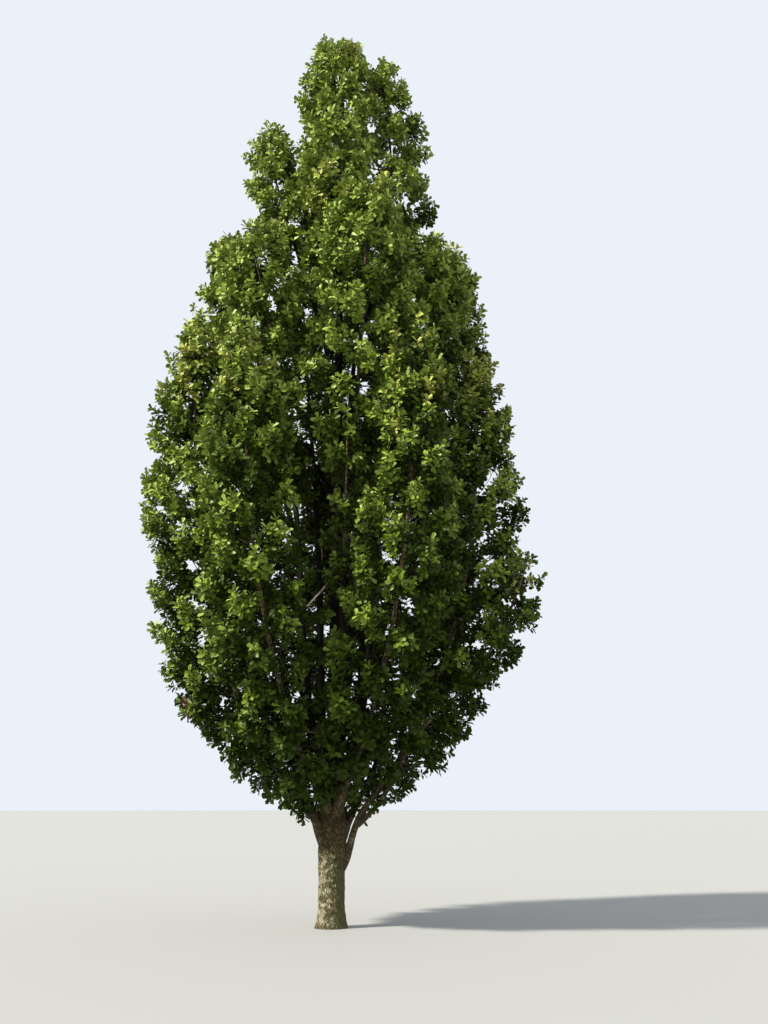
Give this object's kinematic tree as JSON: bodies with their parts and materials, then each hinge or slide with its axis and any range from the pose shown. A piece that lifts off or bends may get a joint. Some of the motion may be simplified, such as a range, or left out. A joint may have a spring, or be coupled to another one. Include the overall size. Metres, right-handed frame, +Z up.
{
  "type": "columnar oak",
  "caption": "Young columnar oak rooted in the ground, with a short flared trunk, steep boughs and an upright, narrow crown of leafy plumes.",
  "frame": {"origin": "middle of the flat cut under the trunk, at ground level", "axes": "+Z up along the trunk, +X to the right and -Y towards the viewer of the picture"},
  "size_m": [5.8061, 5.3982, 14.25],
  "materials": {
    "bark": "rough, fissured",
    "foliage": "leafy"
  },
  "bodies": {
    "root": {"bough_back": "bark", "bough_back_left": "bark", "bough_back_right": "bark", "bough_crown": "bark", "bough_front_left": "bark", "bough_front_right": "bark", "bough_high_back": "bark", "bough_high_front": "bark", "bough_high_left": "bark", "bough_high_right": "bark", "bough_left": "bark", "bough_mid_back_left": "bark", "bough_mid_back_right": "bark", "bough_mid_front": "bark", "bough_mid_front_left": "bark", "bough_mid_front_right": "bark", "bough_mid_left": "bark", "bough_mid_right": "bark", "bough_right": "bark", "bough_right_lobe": "bark", "foliage_back": "foliage", "foliage_back_left": "foliage", "foliage_back_right": "foliage", "foliage_crown": "foliage", "foliage_front_left": "foliage", "foliage_front_right": "foliage", "foliage_high_back": "foliage", "foliage_high_front": "foliage", "foliage_high_left": "foliage", "foliage_high_right": "foliage", "foliage_left": "foliage", "foliage_mid_back_left": "foliage", "foliage_mid_back_right": "foliage", "foliage_mid_front": "foliage", "foliage_mid_front_left": "foliage", "foliage_mid_front_right": "foliage", "foliage_mid_left": "foliage", "foliage_mid_right": "foliage", "foliage_right": "foliage", "foliage_right_lobe": "foliage", "trunk": "bark"}
  },
  "joints": []
}
